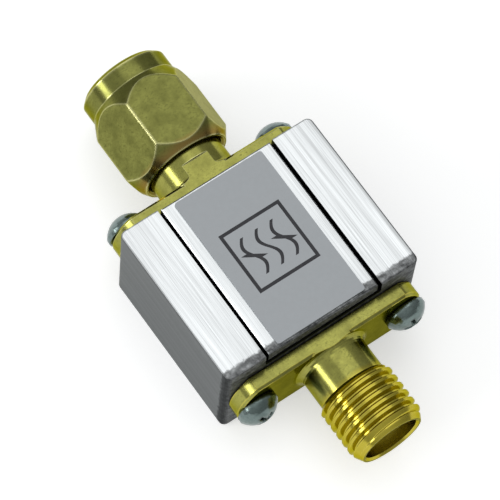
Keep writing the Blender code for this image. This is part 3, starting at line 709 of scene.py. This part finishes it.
jack_low, jack_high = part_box("jack_body")
axis_height = MILLIMETRES * (jack_low[2] + jack_high[2]) / 2
ear_centre = MILLIMETRES * jack_high[1] - FLANGE_HALF_HEIGHT - EAR_BULGE
bar = {
    "Height": axis_height,
    "Reach": BARREL_REACH,
    "Flat": FLANGE_HALF_HEIGHT,
    "Ear": ear_centre,
    "Edge": FLANGE_EDGE,
}
print("axis height:", round(axis_height, 3), "mm, ear centre:", round(ear_centre, 3), "mm")

# %% [markdown]
# ## The plug and the jack
#
# Both are the same gilt brass, with a greenish cast from the thin wash. Only the jack has an outside
# thread, which is the stretch of warmer gold. Pale crests would bleach it, so the painted highlight on
# the jack's edges is gold, and on the plug's edges it is pale brass.

# %% Dress the plug and the jack
BRASS_RIM = (0.70, 0.68, 0.35)
BRASS_EDGE_HIGHLIGHT = (0.66, 0.64, 0.31)
GOLD_EDGE_HIGHLIGHT = (0.56, 0.48, 0.085)
PLATED_RELIEF = 0.15
# The share of painted shade on the faces that look along X is given here.
GILT = {"Bright": (0.33, 0.325, 0.080), "Dull": (0.105, 0.103, 0.028), "End Face Shade": 0.9}
GOLDEN_THREAD = {
    "Stretch": (0.51, 0.42, 0.044),
    "Stretch Start": 10.9,
    "Stretch End": 30.0,
    "Stretch Amount": 0.8,
}

for piece, finish, values, shine in (
    ("jack_body", "jack_gilt", {**GILT, **GOLDEN_THREAD}, GOLD_EDGE_HIGHLIGHT),
    ("plug_body", "plug_gilt", GILT, BRASS_EDGE_HIGHLIGHT),
):
    dress(piece, metal(finish, plating, values, BRASS_RIM, PLATED_RELIEF, bar, shine))

# %% [markdown]
# ## The coupling nut
#
# The nut is the piece that hands and spanners grip, so its wash is duller than the plug's, and its
# edges get a painted highlight. Its rear cone lies close to the flange, out of reach of a cloth, and has
# tarnished brown. The flats are told from the round parts by their distance from the axis, half of
# the size across flats.

# %% Dress the coupling nut
NUT_FLAT = 4.0
NUT_REACH = 6.0
NUT_EDGE = 0.00028
# The share of painted shade on the faces that look along X is given here.
WORN_GILT = {"Bright": (0.205, 0.21, 0.056), "Dull": (0.048, 0.049, 0.012), "End Face Shade": 0.5}
BROWN_CONE = {
    "Stretch": (0.26, 0.17, 0.05),
    "Stretch Start": -11.35,
    "Stretch End": -9.6,
    "Stretch Amount": 0.85,
}

hexagon = {"Height": axis_height, "Reach": NUT_REACH, "Flat": NUT_FLAT, "Edge": NUT_EDGE}
nut_values = {**WORN_GILT, **BROWN_CONE}
dress("coupling_nut", metal("nut_gilt", plating, nut_values, BRASS_RIM, PLATED_RELIEF, hexagon, BRASS_EDGE_HIGHLIGHT))

# %% [markdown]
# ## The small metal pieces
#
# The contacts are plated with thick gold, which stays clean. The spring ring is bare bronze. The
# screws are zinc plated steel, grey with a blue cast. They all use the plating group, because the
# same wear is on them, only with other colours. A screw isn't turned about the filter's axis, so it
# gets soft edges and no swapped direction.

# %% Dress the contacts, the ring and the screws
CONTACT_REACH = 2.0
SCREW_EDGE = 0.00030
SCREW_RELIEF = 0.1
THICK_GOLD = {"Bright": (0.85, 0.62, 0.22), "Dull": (0.62, 0.44, 0.16)}
BARE_BRONZE = {"Bright": (0.45, 0.30, 0.15), "Dull": (0.25, 0.17, 0.09)}
ZINC = {"Bright": (0.19, 0.24, 0.23), "Dull": (0.065, 0.09, 0.085)}

thin_round = {"Height": axis_height, "Reach": CONTACT_REACH}
thick_gold = metal("thick_gold", plating, THICK_GOLD, lathe=thin_round)
for piece in ("plug_pin", "jack_contact"):
    dress(piece, thick_gold)
dress("snap_ring", metal("bronze", plating, BARE_BRONZE, lathe={"Height": axis_height}))
zinc = metal("zinc", plating, ZINC, bump=SCREW_RELIEF, lathe={"Reach": 0.0, "Edge": SCREW_EDGE})
for end in ("plug", "jack"):
    for hand in ("left", "right"):
        dress(f"{end}_screw_{hand}", zinc)

# %% [markdown]
# ## Plastics, rubber and the board
#
# The two insulators are white plastic and the gasket is red rubber. The board and what is soldered to
# it lie inside the closed block. One plain colour would look like paint out of a tin, so each gets a
# fine grain in its colour and its roughness, and nothing more, because they are small or hidden.

# %% Build a plain finish
GRAIN = {"stretch": (1.0, 1.0, 1.0), "scale": 2.5}
GRAIN_RANGE = (0.35, 0.65)
GRAIN_SHINE_RANGE = (0.3, 0.7)
ROUGHNESS_CHANGE = 0.15


def plain(name, colour, roughness, change=0.18):
    material = bpy.data.materials.new(name)
    material.use_nodes = True
    tree = material.node_tree
    shader = tree.nodes["Principled BSDF"].inputs
    grain = noise(tree, **GRAIN)
    darker = tuple((1.0 - change) * part for part in colour)
    lighter = tuple(min(1.0, (1.0 + change / 2) * part) for part in colour)
    feed(tree, mixed(ramp(grain, *GRAIN_RANGE), darker, lighter), shader["Base Color"])
    shiniest, dullest = roughness * (1.0 - ROUGHNESS_CHANGE), roughness * (1.0 + ROUGHNESS_CHANGE)
    feed(tree, ramp(grain, *GRAIN_SHINE_RANGE, shiniest, dullest), shader["Roughness"])
    return material


print("grain: noise of scale", GRAIN["scale"])

# %% [markdown]
# ## Giving the plain finishes
#
# Only the beads and the gasket can be seen, deep in the connectors. The pieces on the board get the
# colours that such pieces usually have: green board, tan capacitors, dark inductors and a pale
# ceramic chip. The shiny ones are the hard ones, and the rubber is the dullest.

# %% Dress the plastics, the rubber and the board
INSULATOR_WHITE = (0.82, 0.82, 0.80)
CAPACITOR_TAN = (0.50, 0.36, 0.22)
INDUCTOR_BLUE = (0.08, 0.10, 0.14)

for piece, colour, roughness in (
    ("gasket", (0.40, 0.06, 0.04), 0.7),
    ("plug_insulator", INSULATOR_WHITE, 0.4),
    ("jack_insulator", INSULATOR_WHITE, 0.4),
    ("circuit_board", (0.04, 0.20, 0.11), 0.45),
    ("filter_chip", (0.70, 0.68, 0.62), 0.35),
    ("capacitor_in", CAPACITOR_TAN, 0.4),
    ("capacitor_out", CAPACITOR_TAN, 0.4),
    ("inductor_in", INDUCTOR_BLUE, 0.4),
    ("inductor_out", INDUCTOR_BLUE, 0.4),
):
    dress(piece, plain(piece + "_finish", colour, roughness))

# %% [markdown]
# ## The label's print
#
# The label carries the drawing symbol of a band-pass filter: a square with three waves, the upper and
# the lower one struck out. Ink has no thickness that counts, so it is a pattern in the finish and not
# a raised piece. It could be a picture, but lines and waves are easy to work out from the place, and
# stay sharp at any size.

# %% Work out where the ink lies
WAVE_HALF_LENGTH = 1.7
WAVE_SWING = 0.42
WAVE_SPACING = 1.35
INK_HALF_WIDTH = 0.14
FRAME_HALF_SIZE = 2.6
BAR_SLOPE = 1.6
BAR_HALF_WIDTH = 1.9 * INK_HALF_WIDTH

ink, _, ink_out = new_group("ink", {}, {"Mask": "NodeSocketFloat"})
across, upward, _ = place_on_piece(ink)
wave = worked_out(ink, "SINE", across * (math.pi / WAVE_HALF_LENGTH)) * WAVE_SWING
mask = abs(larger(abs(across), abs(upward)) - FRAME_HALF_SIZE) < INK_HALF_WIDTH
for row in (-1, 0, 1):
    level_here = upward - row * WAVE_SPACING
    stroke = (abs(level_here - wave) < INK_HALF_WIDTH) * (abs(across) < WAVE_HALF_LENGTH)
    mask = larger(mask, stroke)
    if row:
        bar_here = abs(level_here - across * BAR_SLOPE) < BAR_HALF_WIDTH
        mask = larger(mask, bar_here * (abs(across) < WAVE_SWING))
feed(ink, mask, ink_out["Mask"])
print("ink:", len(ink.nodes), "nodes")

# %% [markdown]
# ## The label's foil
#
# The label is a matt grey foil, even in colour. It gets the plain finish with very little grain, and
# the ink is mixed over its colour.

# %% Print on the foil
FOIL_GREY = (0.40, 0.42, 0.44)
INK_BLACK = (0.02, 0.02, 0.025)

foil = plain("printed_foil", FOIL_GREY, 0.55, change=0.03)
tree = foil.node_tree
base_colour = tree.nodes["Principled BSDF"].inputs["Base Color"]
bare = base_colour.links[0].from_socket
printed = Measure(tree, placed(tree, ink, {})["Mask"])
feed(tree, mixed(printed, bare, INK_BLACK), base_colour)
dress("label", foil)

# %% [markdown] ## Floor  The filter stands on a sheet of white paper. A plane is enough for it.

# %% Lay the floor
FLOOR_SIZE = 0.6

floor_mesh = bmesh.new()
bmesh.ops.create_grid(floor_mesh, x_segments=1, y_segments=1, size=FLOOR_SIZE)
floor_data = bpy.data.meshes.new("floor")
floor_mesh.to_mesh(floor_data)
floor_mesh.free()
floor = bpy.data.objects.new("floor", floor_data)
bpy.context.scene.collection.objects.link(floor)
print("floor:", 2 * FLOOR_SIZE, "m wide")

# %% [markdown]
# ## Paper
#
# The photo's background is pure white. It could be reached with more light, but that would bleach the
# filter. So the paper itself glows a little, for the camera and for rays that metal or glass sends
# on. It reads as white, the metal mirrors it, and the shadow stays.

# %% Make the paper glow
FLOOR_GREY = (0.80, 0.80, 0.80)
FLOOR_ROUGHNESS = 0.9
FLOOR_GLOW = 0.48
WHITE = (1.0, 1.0, 1.0)

paper = bpy.data.materials.new("paper")
paper.use_nodes = True
tree = paper.node_tree
shader = tree.nodes["Principled BSDF"].inputs
shader["Roughness"].default_value = FLOOR_ROUGHNESS
shader["Specular IOR Level"].default_value = 0.0
feed(tree, FLOOR_GREY, shader["Base Color"])
feed(tree, WHITE, shader["Emission Color"])
rays = add(tree, "ShaderNodeLightPath").outputs
seen = Measure(tree, rays["Is Camera Ray"])
for kind in ("Is Glossy Ray", "Is Transmission Ray"):
    seen = larger(seen, Measure(tree, rays[kind]))
feed(tree, seen * FLOOR_GLOW, shader["Emission Strength"])
floor_data.materials.append(paper)
print("the paper glows with strength", FLOOR_GLOW)

# %% [markdown]
# ## Sky
#
# Metal shows what is round it, so an even sky would make it look flat. This one is brighter overhead
# than at the horizon, and brighter on the near side, as in a room with a large window. A picture of a
# real room could do it too, but two ramps are enough for soft light, and can be tuned one by one.

# %% Light the sky
SKY_TINT = (0.98, 1.0, 1.0)
RISE_RANGE, RISE_LIGHT = (0.10, 0.95), (0.38, 0.71)
WINDOW_RANGE, WINDOW_LIGHT = (-0.6, 0.6), (1.15, 0.80)

world = bpy.data.worlds.new("sky")
world.use_nodes = True
bpy.context.scene.world = world
tree = world.node_tree
background = tree.nodes["Background"].inputs
_, sky_y, sky_z = axes_of(tree, add(tree, "ShaderNodeTexCoord").outputs["Generated"])
feed(tree, SKY_TINT, background["Color"])
light = ramp(sky_z, *RISE_RANGE, *RISE_LIGHT) * ramp(sky_y, *WINDOW_RANGE, *WINDOW_LIGHT)
feed(tree, light, background["Strength"])
bpy.context.scene.view_settings.view_transform = "Standard"
print("sky light:", RISE_LIGHT, "times", WINDOW_LIGHT)

# %% [markdown]
# ## Lamps
#
# Two soft lamps. The large one hangs where the top of the block mirrors it to the camera, and makes
# the brushed metal nearly white. The slim one in front draws a bright line along the barrel, the
# thread and the nut. It is kept low and weak, because the top of the block mirrors it towards the
# rear, where it must not burn out.

# %% Hang the lamps
LAMP_DISTANCE = 0.35


def lamp(name, azimuth, elevation, size, power):
    data = bpy.data.lights.new(name, "AREA")
    data.shape = "RECTANGLE"
    data.size, data.size_y = size
    data.energy = power
    away = way_towards(math.radians(azimuth), math.radians(elevation))
    light = bpy.data.objects.new(name, data)
    light.location = HOUSING_CENTRE + away * LAMP_DISTANCE
    light.rotation_euler = away.to_track_quat("Z", "Y").to_euler()
    bpy.context.scene.collection.objects.link(light)
    print(name, "gives", power, "W")


lamp("top_box", azimuth=-131.0, elevation=68.0, size=(0.28, 0.28), power=0.175)
lamp("strip", azimuth=-15.0, elevation=24.0, size=(0.30, 0.08), power=0.42)

# %% [markdown] ## Sizes The finishes add nothing to the shapes.
